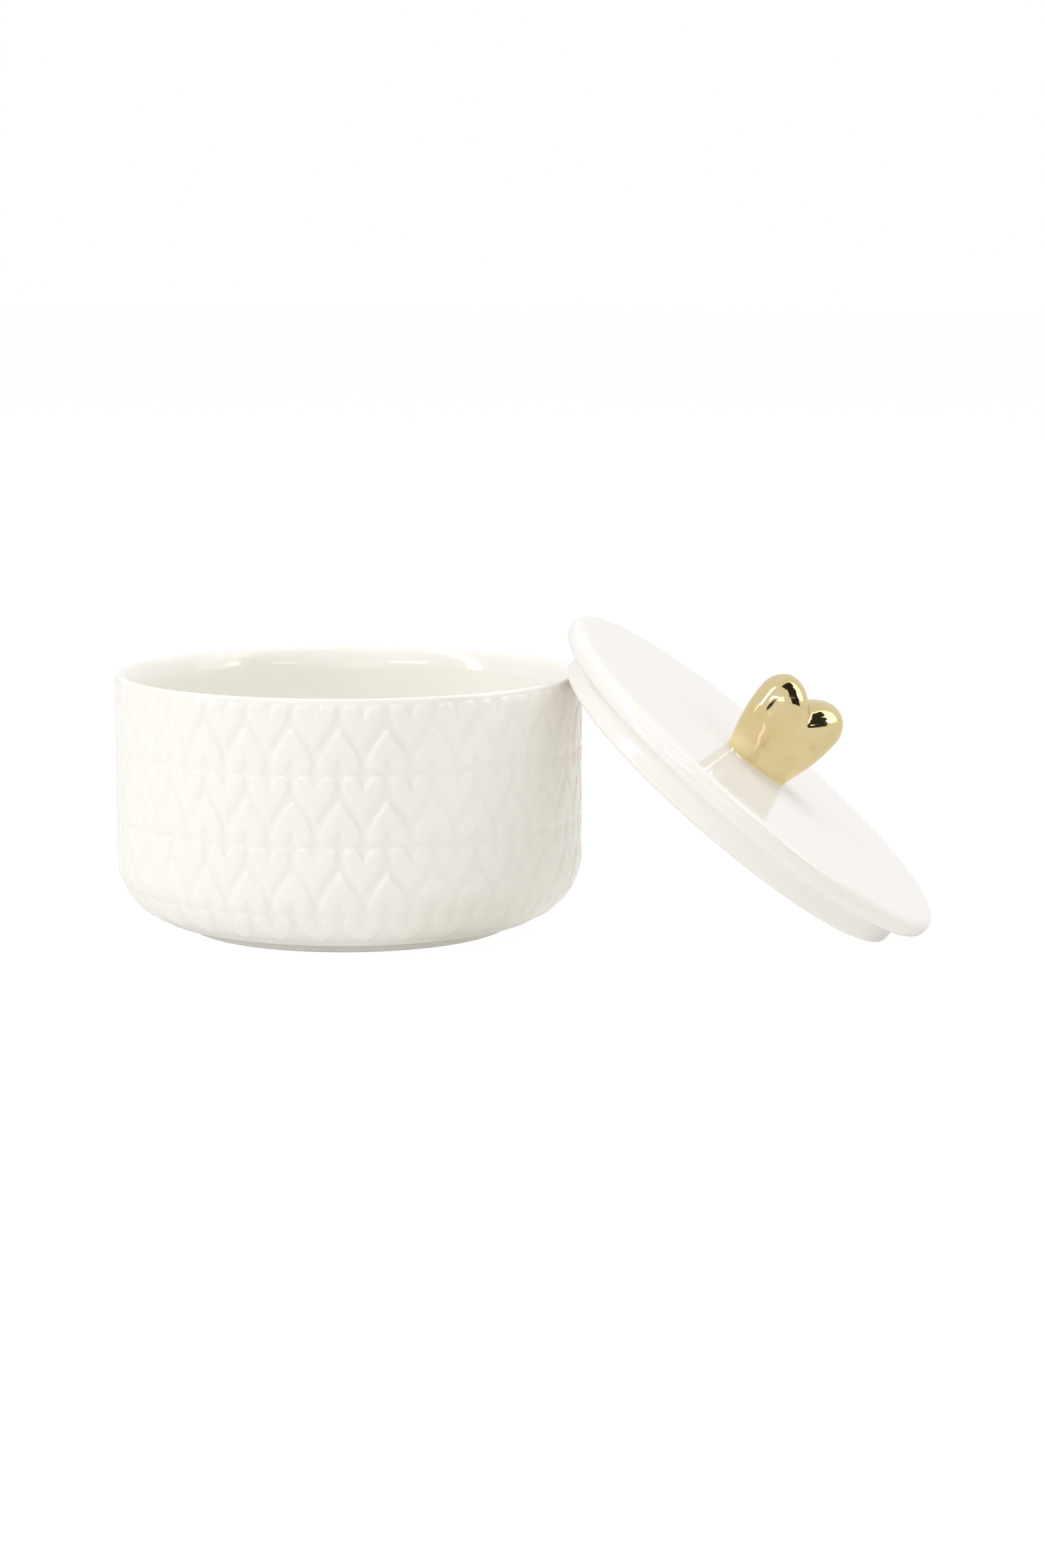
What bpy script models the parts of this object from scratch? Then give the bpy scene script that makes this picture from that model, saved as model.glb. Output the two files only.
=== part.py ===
"""Round lidded trinket box in glazed ceramic: a bowl, and its lid leaning against the bowl's rim.

Metres and radians, +Z up. The origin is on the table, below the middle of the whole set, and the lid
leans along +X. The bowl's inside is a plain cup, and the lid's knob is a puffy heart.
"""

import math

import bpy

# Bowl
BOWL_RADIUS = 0.0500
BOWL_HEIGHT = 0.0548
BOWL_WALL = 0.0038
BOWL_FLOOR = 0.0042
BASE_CURVE = 0.0141  # outer radius of the curve from the wall to the underside
FOOT_RADIUS = 0.0345
FOOT_WIDTH = 0.0050
FOOT_HEIGHT = 0.0018
FOOT_RECESS = 0.0012  # height of the hollow inside the foot ring
FOOT_EDGE = 0.0004  # rounding of the foot ring's two edges

# Lid
LID_INSET = 0.0006  # the lid's edge lies this far inside the bowl's wall when it is closed
LID_THICKNESS = 0.0047
LID_TOP_ROUND = 0.0024
LID_LOWER_ROUND = 0.0010
RING_CLEARANCE = 0.0020  # between the locating ring and the inside of the bowl
RING_WIDTH = 0.0056
RING_DEPTH = 0.0058
RING_ROUND = 0.0010

# Heart knob
HEART_WIDTH = 0.0220
HEART_THICKNESS = 0.0130
HEART_FOOT_WIDTH = 0.0165
HEART_SHOULDER = 0.0140  # height of its widest level
HEART_CROWN = 0.0067  # height of the rounded crown above that level
HEART_NOTCH = 0.0044  # how deep the crown is pressed in at its middle
HEART_NOTCH_REACH = 0.0055  # half the width of the pressed valley
HEART_NOTCH_SOFTNESS = 0.0004  # rounding at the bottom of the valley
HEART_NOTCH_FADE = 0.0063  # height where the valley has faded out
HEART_OFFSET = 0.0006  # the knob was set this far off the lid's centre, towards its raised edge
HEART_TURN = math.radians(28)

# Clearance between pieces that touch, and the fineness of the round shapes
SEAM = 0.0003
TURN_STEPS = 72
HEART_STEPS = 48
HEART_LEVELS = 8  # in the crown, and again below it
ARC_ERROR = 0.00008  # most that a straight step of an outline's arc cuts off
AXIS_MERGE = 0.00001

# Finishes
GLAZE_COLOUR = (0.87, 0.85, 0.79)
GLAZE_ROUGHNESS = 0.12
GOLD_COLOUR = (0.66, 0.50, 0.22)
GOLD_ROUGHNESS = 0.08

# Sizes that follow from those above
RIM_ROUND = BOWL_WALL / 2
BOWL_INNER_RADIUS = BOWL_RADIUS - BOWL_WALL
LID_RADIUS = BOWL_RADIUS - LID_INSET
RING_RADIUS = BOWL_INNER_RADIUS - RING_CLEARANCE
RING_INNER_RADIUS = RING_RADIUS - RING_WIDTH


def lid_lean():
    """Angle of the lid when its ring's lower corner is on the table and its ring's face on the rim."""
    rim_rest = RING_RADIUS - RING_WIDTH / 2
    along = RING_RADIUS - RING_ROUND + rim_rest
    across = RING_ROUND + RIM_ROUND + SEAM
    rise = BOWL_HEIGHT - RIM_ROUND - RING_ROUND
    return math.asin(rise / math.hypot(along, across)) + math.atan2(across, along)


def lid_place(lean):
    """Distance of the leaning lid's centre from the bowl's axis, and its height above the table."""
    corner_along = (RING_RADIUS - RING_ROUND) * math.sin(lean)
    corner_down = (RING_DEPTH - RING_ROUND) * math.cos(lean)
    height = corner_along + corner_down + RING_ROUND
    rim_height = BOWL_HEIGHT - RIM_ROUND
    standoff = RING_DEPTH + SEAM + RIM_ROUND
    reach = ((rim_height - height) * math.cos(lean) + standoff) / math.sin(lean)
    return BOWL_RADIUS - RIM_ROUND + reach, height


def bowl_place(lean, lid_reach):
    """X of the bowl's axis that puts the middle of the whole set over the origin."""
    edge_along = (LID_RADIUS - LID_TOP_ROUND) * math.cos(lean)
    edge_up = (LID_THICKNESS - LID_TOP_ROUND) * math.sin(lean)
    far_end = lid_reach + edge_along + edge_up + LID_TOP_ROUND
    return (BOWL_RADIUS - far_end) / 2


def arc(centre_r, centre_z, radius, start, end):
    """Points of an arc in a turned outline, with its angles in degrees from the +R direction."""
    first = math.radians(start)
    sweep = math.radians(end) - first
    step = 2 * math.acos(max(0, 1 - ARC_ERROR / radius))
    count = max(2, math.ceil(abs(sweep) / step))
    angles = [first + sweep * i / count for i in range(count + 1)]
    return [(centre_r + radius * math.cos(a), centre_z + radius * math.sin(a)) for a in angles]


def finish(name, colour, roughness, metallic=0):
    material = bpy.data.materials.new(name)
    material.use_nodes = True
    shader = material.node_tree.nodes["Principled BSDF"]
    shader.inputs["Base Color"].default_value = (*colour, 1)
    shader.inputs["Roughness"].default_value = roughness
    shader.inputs["Metallic"].default_value = metallic
    return material


def turned(name, outline, steps, collection, closed=False):
    """Turns an outline of (radius, height) points, which runs down its outer side, about the Z axis."""
    mesh = bpy.data.meshes.new(name)
    edges = [(i, i + 1) for i in range(len(outline) - 1)]
    if closed:
        edges.append((len(outline) - 1, 0))
    mesh.from_pydata([(r, 0, z) for r, z in outline], edges, [])
    piece = bpy.data.objects.new(name, mesh)
    collection.objects.link(piece)
    turn = piece.modifiers.new("Turn", "SCREW")
    turn.steps = steps
    turn.render_steps = steps
    turn.use_merge_vertices = True
    turn.merge_threshold = AXIS_MERGE
    turn.use_smooth_shade = True
    return piece


def bowl(collection):
    """Cup with a half-round rim, a curve down to the floor and a foot ring with a shallow hollow."""
    curve_r = BOWL_RADIUS - BASE_CURVE
    inner_curve = BASE_CURVE - BOWL_WALL
    floor_top = FOOT_HEIGHT + BOWL_FLOOR
    foot_join = max(FOOT_RADIUS, curve_r)
    join_angle = -math.degrees(math.acos((foot_join - curve_r) / BASE_CURVE))
    foot_inner = FOOT_RADIUS - FOOT_WIDTH

    outline = [(0, floor_top)]
    outline += arc(curve_r, floor_top + inner_curve, inner_curve, -90, 0)
    outline += arc(BOWL_RADIUS - RIM_ROUND, BOWL_HEIGHT - RIM_ROUND, RIM_ROUND, 180, 0)
    outline += arc(curve_r, FOOT_HEIGHT + BASE_CURVE, BASE_CURVE, 0, join_angle)
    if foot_join > FOOT_RADIUS:
        outline.append((FOOT_RADIUS, FOOT_HEIGHT))
    outline += arc(FOOT_RADIUS - FOOT_EDGE, FOOT_EDGE, FOOT_EDGE, 0, -90)
    outline += arc(foot_inner + FOOT_EDGE, FOOT_EDGE, FOOT_EDGE, -90, -180)
    outline += [(foot_inner, FOOT_RECESS), (0, FOOT_RECESS)]
    return turned("bowl", outline, TURN_STEPS, collection)


def lid_plate(collection):
    """Disc whose underside is the seat plane, at height 0 on the lid's own axis."""
    outline = [(0, LID_THICKNESS)]
    outline += arc(LID_RADIUS - LID_TOP_ROUND, LID_THICKNESS - LID_TOP_ROUND, LID_TOP_ROUND, 90, 0)
    outline += arc(LID_RADIUS - LID_LOWER_ROUND, LID_LOWER_ROUND, LID_LOWER_ROUND, 0, -90)
    outline.append((0, 0))
    return turned("lid_plate", outline, TURN_STEPS, collection)


def locating_ring(collection):
    """Ring under the lid plate, which drops inside the bowl's rim."""
    lower = RING_ROUND - RING_DEPTH
    outline = [(RING_INNER_RADIUS, -SEAM), (RING_RADIUS, -SEAM)]
    outline += arc(RING_RADIUS - RING_ROUND, lower, RING_ROUND, 0, -90)
    outline += arc(RING_INNER_RADIUS + RING_ROUND, lower, RING_ROUND, -90, -180)
    return turned("locating_ring", outline, TURN_STEPS, collection, closed=True)


def heart_outline():
    """Half outline of the knob before its crown is pressed in: a bullet that tapers to its foot."""
    half_width = HEART_WIDTH / 2
    foot = HEART_FOOT_WIDTH / 2
    quarter = math.radians(90)
    outline = [(0, HEART_SHOULDER + HEART_CROWN)]
    for level in range(1, HEART_LEVELS + 1):
        angle = quarter * level / HEART_LEVELS
        outline.append((half_width * math.sin(angle), HEART_SHOULDER + HEART_CROWN * math.cos(angle)))
    for level in range(HEART_LEVELS - 1, -1, -1):
        height = level / HEART_LEVELS
        outline.append((foot + (half_width - foot) * math.sin(quarter * height), HEART_SHOULDER * height))
    outline.append((0, 0))
    return outline


def notch_at(x, z):
    """How far the crown is pressed down at a point of the bullet."""
    off_middle = math.hypot(x, HEART_NOTCH_SOFTNESS) - HEART_NOTCH_SOFTNESS
    across = max(0, 1 - off_middle / HEART_NOTCH_REACH) ** 2
    up = (z - HEART_NOTCH_FADE) / (HEART_SHOULDER + HEART_CROWN - HEART_NOTCH_FADE)
    return HEART_NOTCH * across * max(0, up)


def heart_knob(collection):
    """Bullet squashed to the heart's thickness, with a valley pressed across its crown."""
    knob = turned("heart_knob", heart_outline(), HEART_STEPS, collection)
    bpy.context.view_layer.update()
    solid = bpy.data.meshes.new_from_object(knob.evaluated_get(bpy.context.evaluated_depsgraph_get()))
    solid.name = "heart_knob"
    for vertex in solid.vertices:
        x, y, z = vertex.co
        vertex.co = (x, y * HEART_THICKNESS / HEART_WIDTH, z - notch_at(x, z))
    outline = knob.data
    knob.modifiers.clear()
    knob.data = solid
    bpy.data.meshes.remove(outline)
    knob.location = (-HEART_OFFSET, 0, LID_THICKNESS + SEAM)
    knob.rotation_euler = (0, 0, HEART_TURN)
    return knob


def main():
    for leftover in list(bpy.data.objects):
        bpy.data.objects.remove(leftover)
    parts = bpy.data.collections.new("trinket_box")
    bpy.context.scene.collection.children.link(parts)

    lean = lid_lean()
    lid_reach, lid_height = lid_place(lean)
    bowl_x = bowl_place(lean, lid_reach)

    cup = bowl(parts)
    cup.location = (bowl_x, 0, 0)
    cup.data.materials.append(finish("bowl_glaze", GLAZE_COLOUR, GLAZE_ROUGHNESS))

    lid_axis = bpy.data.objects.new("lid_axis", None)
    parts.objects.link(lid_axis)
    lid_axis.location = (bowl_x + lid_reach, 0, lid_height)
    lid_axis.rotation_euler = (0, lean, 0)

    plate = lid_plate(parts)
    plate.data.materials.append(finish("lid_glaze", GLAZE_COLOUR, GLAZE_ROUGHNESS))
    ring = locating_ring(parts)
    ring.data.materials.append(finish("ring_glaze", GLAZE_COLOUR, GLAZE_ROUGHNESS))
    knob = heart_knob(parts)
    knob.data.materials.append(finish("gold_lustre", GOLD_COLOUR, GOLD_ROUGHNESS, metallic=1))
    for piece in (plate, ring, knob):
        piece.parent = lid_axis


main()
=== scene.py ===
"""Round glazed trinket box: a bowl embossed with hearts, and its lid with a gold heart knob.

The script is laid out as an add-on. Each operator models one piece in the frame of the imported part.
"""

import math

import bpy
import numpy as np
from mathutils import Matrix, Vector


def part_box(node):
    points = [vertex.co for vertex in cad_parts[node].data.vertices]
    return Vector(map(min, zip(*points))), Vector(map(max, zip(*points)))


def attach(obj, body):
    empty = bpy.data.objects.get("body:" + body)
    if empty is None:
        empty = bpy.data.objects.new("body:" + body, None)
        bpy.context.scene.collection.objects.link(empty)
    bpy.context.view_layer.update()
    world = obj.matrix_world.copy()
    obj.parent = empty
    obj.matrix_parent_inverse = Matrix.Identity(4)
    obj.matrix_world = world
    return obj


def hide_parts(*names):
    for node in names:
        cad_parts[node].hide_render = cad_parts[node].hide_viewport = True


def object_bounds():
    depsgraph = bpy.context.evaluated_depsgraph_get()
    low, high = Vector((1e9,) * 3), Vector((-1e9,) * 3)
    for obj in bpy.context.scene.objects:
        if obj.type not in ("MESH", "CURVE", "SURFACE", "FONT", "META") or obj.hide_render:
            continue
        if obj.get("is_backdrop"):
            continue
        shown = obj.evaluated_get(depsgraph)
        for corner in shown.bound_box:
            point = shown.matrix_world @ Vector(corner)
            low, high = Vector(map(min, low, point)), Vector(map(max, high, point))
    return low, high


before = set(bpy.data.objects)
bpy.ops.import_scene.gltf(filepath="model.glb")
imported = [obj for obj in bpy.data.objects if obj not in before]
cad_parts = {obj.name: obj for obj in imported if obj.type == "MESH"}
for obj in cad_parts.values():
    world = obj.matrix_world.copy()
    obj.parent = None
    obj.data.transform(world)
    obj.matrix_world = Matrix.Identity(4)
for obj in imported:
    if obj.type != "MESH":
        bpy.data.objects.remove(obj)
CAD_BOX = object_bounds()

bl_info = {
    "name": "Heart Trinket Box",
    "version": (1, 0, 0),
    "blender": (4, 5, 0),
    "location": "3D View > Sidebar > Trinket Box",
    "description": "Models a round glazed trinket box with embossed hearts and a gold heart knob",
    "category": "Add Mesh",
}

MERGE = 1e-6
FULL_TURN = math.tau
IMAGE_LONG_SIDE = 2352
SENSOR = 36.0

# Embossed hearts
GROOVE_LEVELS = 500  # steps of the weight that presses the grooves
FINE_BEND = 72  # degrees of the base curve that have the wall's fine mesh rows
WALL_TOLERANCE = 1e-5  # most that a vertex of the outer wall lies off its outline
RIM_FADE = (0.0002, 0.0008)  # depths below the rim between which the relief sets in
BASE_FADE = (-0.0018, 0.0006)  # climbs up the wall between which it sets in above the base
INVERTED_BANDS, UPRIGHT_BANDS = 3, 4
SOFT_BELOW = (0.80, 0.35)  # shares of the height below which upright and inverted hearts are soft
SOFT_FADE, CROWN_REACH = 0.25, 0.37  # also in shares of a heart's height
GROOVE_POOL_AND_SHADE, BASE_SHADE = 0.12, 0.35  # shares of darker glaze in the grooves, glaze pooling and painted groove shade, and more of it near the base as painted shade
# Painted shade near the base: the climb below which it sets in, and the length below that over which
# it grows to full
BASE_SHADE_TOP, BASE_SHADE_FADE = 0.006, 0.005

# Lid's mesh and glaze
TOP_RINGS = np.arange(0, 0.043, 0.003)  # radii of the mesh rings on its flat top
RING_SEAT = 0.00005  # how far the ring's fillet is set into the plate
WIPED_HEIGHT = 0.0003  # bare clay at the ring's lower edge
# Darker glaze in the crease between the ring and the plate, glaze pooling and painted crease shade:
# its share and reach
CREASE_POOL_AND_SHADE, CREASE_REACH = 0.1, 0.0012

# Knob's mesh
PRESS_POWER = 1.4  # how late the pressing into two lobes sets in on the way up
SMOOTH_EDGE = math.radians(50)  # sharper edges than this stay sharp

# Glaze and gold: clouds per metre, specks and pits, and roughness from clear to clouded
GLAZE_CLOUDS, GOLD_CLOUDS = 70.0, 160.0
CLOUD_RANGE, CLOUD_SHARE = (0.32, 0.68), 0.10
SPECKS = {"Cells": 75.0, "Size": 0.012, "Share": 0.16}
PITS = {"Cells": 260.0, "Size": 0.035, "Share": 0.10}
PIT_EDGE, SPECK_SHARE = 0.6, 0.55
GLAZE_ROUGHNESS, CLAY_ROUGHNESS = (0.06, 0.11), 0.7
GOLD_ROUGHNESS, PIT_ROUGHNESS = (0.05, 0.09), 0.5
GLAZE_IOR = 1.5
SCATTER, SCATTER_RADIUS, SCATTER_SCALE = 0.12, (1.0, 0.85, 0.6), 0.0012

# Ripples in the glaze and gold: their height, their number per metre and their strength
RIPPLE_HEIGHT = 0.0004
BOWL_RIPPLES, BOWL_RIPPLE = 420.0, 0.05
LID_RIPPLES, LID_RIPPLE = 230.0, 0.4
LID_RIPPLE_REACH, LID_RIPPLE_FADE = 0.027, 0.014  # around the knob
GOLD_RIPPLES, GOLD_RIPPLE = 260.0, 0.04

# Painted highlight on the lustre, a thin wavy bright streak in the knob's own axes, and the fade of
# the gold painted lighter above its foot
GLINT_LEAN, GLINT_OFFSET = -0.4225, -0.00373
GLINT_WAVES, GLINT_SWAY = 1900.0, 0.00013
GLINT_EDGE = (0.00018, 0.00038)
GLINT_FOOT, GLINT_HEAD = (0.0005, 0.0012), (0.0082, 0.0090)
# Painted light: the knob's gold is lighter near its foot, fading out between these heights
LIT_FOOT_FADE = (0.0005, 0.0058)
PAINTED_REFLECTION_SHARE = 0.75  # share of the painted reflection colour, which the knob takes only where another surface mirrors it

# Stage: brightness is that of a lit face, and angles are in degrees around from the front and up
STAGE_MIDDLE = (0, 0, 0.03)
KNOB_MIDDLE = (0.05, 0, 0.06)
LAMP_DISTANCE, FLAG_DISTANCE, PANEL_DISTANCE, MASK_DISTANCE = 1.5, 1.7, 1.8, 0.12
WHITE = (1, 1, 1)
DARK = 0.03
CARD_COLOUR = (1.0, 0.98, 0.94)
FLOOR_ROUGHNESS = 0.9
CLIP_START, CLIP_END = 0.01, 50

# Name, azimuth, elevation, width, height, brightness, tint and whether mirrors show it
LAMPS = (
    ("left_strip", -25, 19, 0.58, 0.14, 6.0, WHITE, True),
    ("right_strip", 47, 19, 0.40, 0.12, 4.0, WHITE, True),
    ("left_window", -64, 34, 0.27, 1.60, 4.3, (0.98, 1.0, 1.03), True),
    ("right_window", 79, 22, 0.26, 0.30, 3.9, (1.0, 0.95, 0.81), True),
    ("front_fill", -30, 42, 1.6, 1.2, 0.53, WHITE, False),
    ("overhead", 116, 64, 1.1, 0.9, 2.7, WHITE, False),
)

# Name, azimuth, elevation, width, height, brightness, distance and the middle that it faces
CARDS = (
    ("right_flag", 56, 29, 1.12, 2.1, DARK, FLAG_DISTANCE, STAGE_MIDDLE),
    ("top_flag", 54, 66, 1.25, 0.90, DARK, FLAG_DISTANCE, STAGE_MIDDLE),
    ("left_flag", -24, 4, 0.36, 0.27, DARK, FLAG_DISTANCE, STAGE_MIDDLE),
    ("right_panel", 92, 42, 0.95, 2.4, 2.0, PANEL_DISTANCE, STAGE_MIDDLE),
    ("front_pane", 1, 9.5, 0.72, 0.50, 1.9, PANEL_DISTANCE, STAGE_MIDDLE),
    ("strip_mask", 45.6, 18.3, 0.048, 0.034, DARK, MASK_DISTANCE, KNOB_MIDDLE),
)

BOWL_LOW, BOWL_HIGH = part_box("bowl")
BOWL_AXIS = ((BOWL_LOW.x + BOWL_HIGH.x) / 2, (BOWL_LOW.y + BOWL_HIGH.y) / 2)

# Painted shadows in the floor's glow that lights the object, spots where it is dimmed: x, y, inner
# and outer radius, and the share that is left
BOWL_SHADE = (*BOWL_AXIS, 0.036, 0.048, 0.65)
LID_SHADE = (0.080, -0.006, 0.006, 0.018, 0.75)
SIDE_SHADE = (0.004, -0.040, 0.010, 0.030, 0.77)


def lid_place():
    """Matrix from the lid's own axes to the frame, and the lid's radius and thickness.

    The lid's seat plane is at height 0 on its own axis.
    """
    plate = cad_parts["lid_plate"].data
    points = np.empty(len(plate.vertices) * 3, np.float32)
    plate.vertices.foreach_get("co", points)
    points = points.reshape(-1, 3).astype(float)
    axis = np.array(max(plate.polygons, key=lambda face: face.area).normal)
    axis *= np.sign(axis[2]) / np.linalg.norm(axis)
    heights = points @ axis
    seat = points[heights < heights.min() + MERGE]
    seat = (seat.min(axis=0) + seat.max(axis=0)) / 2
    along = np.cross((0, 1, 0), axis)
    along /= np.linalg.norm(along)
    across = np.cross(axis, along)
    place = Matrix.Identity(4)
    for row in range(3):
        place[row] = (along[row], across[row], axis[row], seat[row])
    reach = (points - seat) @ np.array([along, across]).T
    radius = np.hypot(reach[:, 0], reach[:, 1]).max()
    return place, float(radius), float(heights.max() - heights.min())


LID_PLACE, LID_RADIUS, LID_THICKNESS = lid_place()


def length(name, description, default):
    return bpy.props.FloatProperty(
        name=name, description=description, default=default, unit="LENGTH", precision=5
    )


def angle(name, description, degrees):
    return bpy.props.FloatProperty(
        name=name, description=description, default=math.radians(degrees), subtype="ANGLE"
    )


def count(name, description, default):
    return bpy.props.IntProperty(name=name, description=description, default=default, min=1)


def factor(name, description, default):
    return bpy.props.FloatProperty(
        name=name, description=description, default=default, min=0, max=1, subtype="FACTOR"
    )


def strength(name, description, default):
    return bpy.props.FloatProperty(name=name, description=description, default=default, min=0)


def colour(name, description, default):
    return bpy.props.FloatVectorProperty(
        name=name, description=description, default=default, size=3, min=0, max=1, subtype="COLOR"
    )


class BowlSettings(bpy.types.PropertyGroup):
    """Sizes of the bowl and of the hearts on its wall"""

    radius: length("Radius", "Outer radius of the wall", (BOWL_HIGH.x - BOWL_LOW.x) / 2)
    height: length("Height", "Height of the rim above the table", BOWL_HIGH.z)
    wall: length("Wall", "Thickness of the wall", 0.0038)
    floor: length("Floor", "Thickness of the floor", 0.0042)
    rim: length("Rim", "Rounding of the rim's outer edge", 0.0012)
    lip: length("Lip", "How far the rounding of the rim reaches down the inside", 0.0056)
    base_curve: length("Base curve", "Outer radius of the curve from wall to underside", 0.0141)
    foot_radius: length("Foot radius", "Outer radius of the foot ring", 0.0345)
    foot_width: length("Foot width", "Width of the foot ring", 0.0050)
    foot_height: length("Foot height", "Height of the foot ring", 0.0018)
    foot_recess: length("Foot recess", "Height of the hollow inside the foot ring", 0.0012)
    foot_edge: length("Foot edge", "Rounding of the foot ring", 0.0004)
    hearts: count("Hearts around", "Upright hearts in one band", 32)
    columns: count("Columns", "Mesh columns for each heart", 20)
    row: length("Row", "Height of a mesh row on the embossed wall", 0.000475)
    pitch: length("Band pitch", "Height of one band of upright and inverted hearts", 0.01475)
    top: length("First band", "Height of the lobes of the first band", 0.0538)
    drop: length("Inverted drop", "From the upright hearts' lobes down to inverted points", 0.0051)
    heart_width: length("Heart width", "Width of an embossed heart", 0.00845)
    heart_height: length("Heart height", "Height of an embossed heart", 0.00925)
    heart_notch: length("Heart notch", "Depth of the notch between the lobes", 0.0029)
    rim_band: length("Rim band", "Height where the smooth rim cuts the first hearts", 0.0535)
    phase: angle("Phase", "Direction of one inverted heart from the bowl's axis", -81.26)
    groove: length("Groove", "Depth of the grooves between the hearts", 0.00034)
    slope: length("Slope", "Width of the slope along a heart's upper edges", 0.00085)
    soft_slope: length("Soft slope", "Width of the slope along a heart's lower edges", 0.0015)
    crowd: factor("Crowding", "How closely the mesh gathers along the hearts' outlines", 0.5)
    crowd_reach: length("Crowding reach", "How far from the outlines the mesh gathers", 0.0009)
    crown: factor("Crown", "Share of the relief that is the crowned face of a heart", 0.08)


class LidSettings(bpy.types.PropertyGroup):
    """Sizes of the lid and of the ring under it"""

    top_round: length("Top edge", "Rounding of the upper edge", 0.0022)
    lower_round: length("Lower edge", "Rounding of the lower edge", 0.0019)
    ring_radius: length("Ring radius", "Outer radius of the locating ring", 0.0442)
    ring_width: length("Ring width", "Width of the locating ring", 0.0056)
    ring_depth: length("Ring depth", "How far the locating ring reaches below the lid", 0.0058)
    ring_round: length("Ring edge", "Rounding of the locating ring", 0.0010)
    fillet: length("Fillet", "Glaze fillet between the ring and the lid", 0.0031)
    steps: count("Steps", "Mesh columns around the lid", 192)


class KnobSettings(bpy.types.PropertyGroup):
    """Sizes of the heart knob"""

    width: length("Width", "Width across the lobes", 0.02125)
    thickness: length("Thickness", "Thickness from front to back", 0.0124)
    foot_width: length("Foot width", "Width where it meets the lid", 0.0157)
    shoulder: length("Shoulder", "Height of its widest level", 0.0135)
    crown: length("Crown", "Height of the bullet's rounded crown above that level", 0.0067)
    lobe: length("Lobe", "How far the top of a lobe lies off the middle", 0.0057)
    lobe_rise: length("Lobe rise", "Height of a lobe above the widest level", 0.00604)
    notch: length("Notch", "Depth of the valley between the lobes", 0.00325)
    softness: length("Notch softness", "Rounding at the bottom of the valley", 0.0004)
    fade: length("Notch fade", "Height where the valley has faded out", 0.0063)
    fullness: bpy.props.FloatProperty(
        name="Fullness", description="2 gives oval levels, more gives flatter faces", default=2.4
    )
    offset: length("Offset", "From the lid's centre, towards the raised edge", 0.00068)
    turn: angle("Turn", "Turn about the lid's axis", 28.9)
    seat: length("Seat", "Height of its foot above the lid in the frame", 0.0003)
    sink: length("Sink", "How far its foot is set into the lid's glaze", 0.0001)
    steps: count("Steps", "Mesh columns around the knob", 272)
    levels: count("Levels", "Mesh levels of the crown, and again of the side", 80)


class FinishSettings(bpy.types.PropertyGroup):
    """Colours of the glaze, the bare clay and the gold"""

    glaze: colour("Glaze", "Ivory glaze on the lit faces", (0.934, 0.914, 0.860))
    lid_glaze: colour("Lid glaze", "Ivory glaze of the lid", (0.934, 0.897, 0.862))
    # Darker glaze colour: glaze pooling, and painted shade in the grooves, the crease and near the
    # base; the clouds use it too
    pool: colour("Pooled glaze", "Thicker glaze in the grooves and corners", (0.875, 0.845, 0.755))
    clay: colour("Clay", "Bare clay where the glaze was wiped off", (0.74, 0.70, 0.62))
    speck: colour("Speck", "Iron specks in the glaze", (0.50, 0.40, 0.28))
    gold: colour("Gold", "Mirror-gold lustre", (0.722, 0.586, 0.306))
    pale_gold: colour("Pale gold", "Lustre where it was brushed on thicker", (0.757, 0.630, 0.360))
    # Painted light: lighter gold at the knob's foot, standing in for brighter reflections there
    painted_light_foot_gold: colour("Foot gold", "Lighter lustre at the knob's foot", (0.96, 0.84, 0.50))
    # Painted reflection: paler, greyer gold that shows only in the knob's reflections on the glaze
    painted_reflection_gold: colour("Mirrored gold", "Lustre as the glaze mirrors it", (0.66, 0.645, 0.54))
    # Painted highlight: colour of the bright streak on the knob's face
    glint: colour("Lustre ridge", "Ridge of thick lustre on the knob's face", (1.0, 0.820, 0.500))
    pit: colour("Pit", "Pinholes in the lustre", (0.10, 0.065, 0.03))


class StageSettings(bpy.types.PropertyGroup):
    """Camera, floor and lamps"""

    azimuth: angle("Azimuth", "Camera's direction around the object", 8.337)
    elevation: angle("Elevation", "Camera's height above the horizon", 8.398)
    distance: length("Distance", "From the camera to its target", 0.806)
    target_height: length("Target height", "Height of the camera's target", 0.03106)
    target_x: length("Target X", "X of the camera's target", 0.00019)
    focal_pixels: bpy.props.FloatProperty(
        name="Focal length", description="In pixels of the full image", default=5657.6
    )
    floor_size: length("Floor", "Side of the floor", 12.0)
    floor: colour("Floor colour", "Pale floor", (0.83, 0.83, 0.825))
    floor_cream: colour("Floor cream", "Tint of the floor's glow", (1.0, 0.99, 0.965))
    # Painted warm shade: the glow beside the bowl is tinted towards this colour
    floor_shade_warmth: colour("Floor warmth", "Tint of the glow beside the bowl", (1.0, 0.88, 0.50))
    floor_glow: strength("Floor glow", "Light that the white floor gives to the object", 0.94)
    floor_share: factor("Floor share", "Share of that light which no shadow darkens", 0.80)
    seen_glow: strength("Seen glow", "Glow of the floor to the camera", 1.08)
    seen_share: factor("Seen share", "Share of the seen floor which no shadow darkens", 0.86)
    sky: strength("Sky", "Strength of the even light from all around", 0.55)
    sky_tint: colour("Sky tint", "Tint of that light", (1.0, 0.995, 0.985))
    mirrored_sky: strength("Mirrored sky", "Brightness of the white studio in mirrors", 0.92)


def smooth(x):
    """Soft step from 0 to 1."""
    x = np.clip(x, 0, 1)
    return x * x * (3 - 2 * x)


def arc(centre_r, centre_z, radius_r, radius_z, start, end, steps):
    """Points of an elliptical arc in a turned outline, by degrees from the +R direction."""
    angles = np.radians(np.linspace(start, end, steps + 1))
    return [(centre_r + radius_r * math.cos(a), centre_z + radius_z * math.sin(a)) for a in angles]


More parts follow.
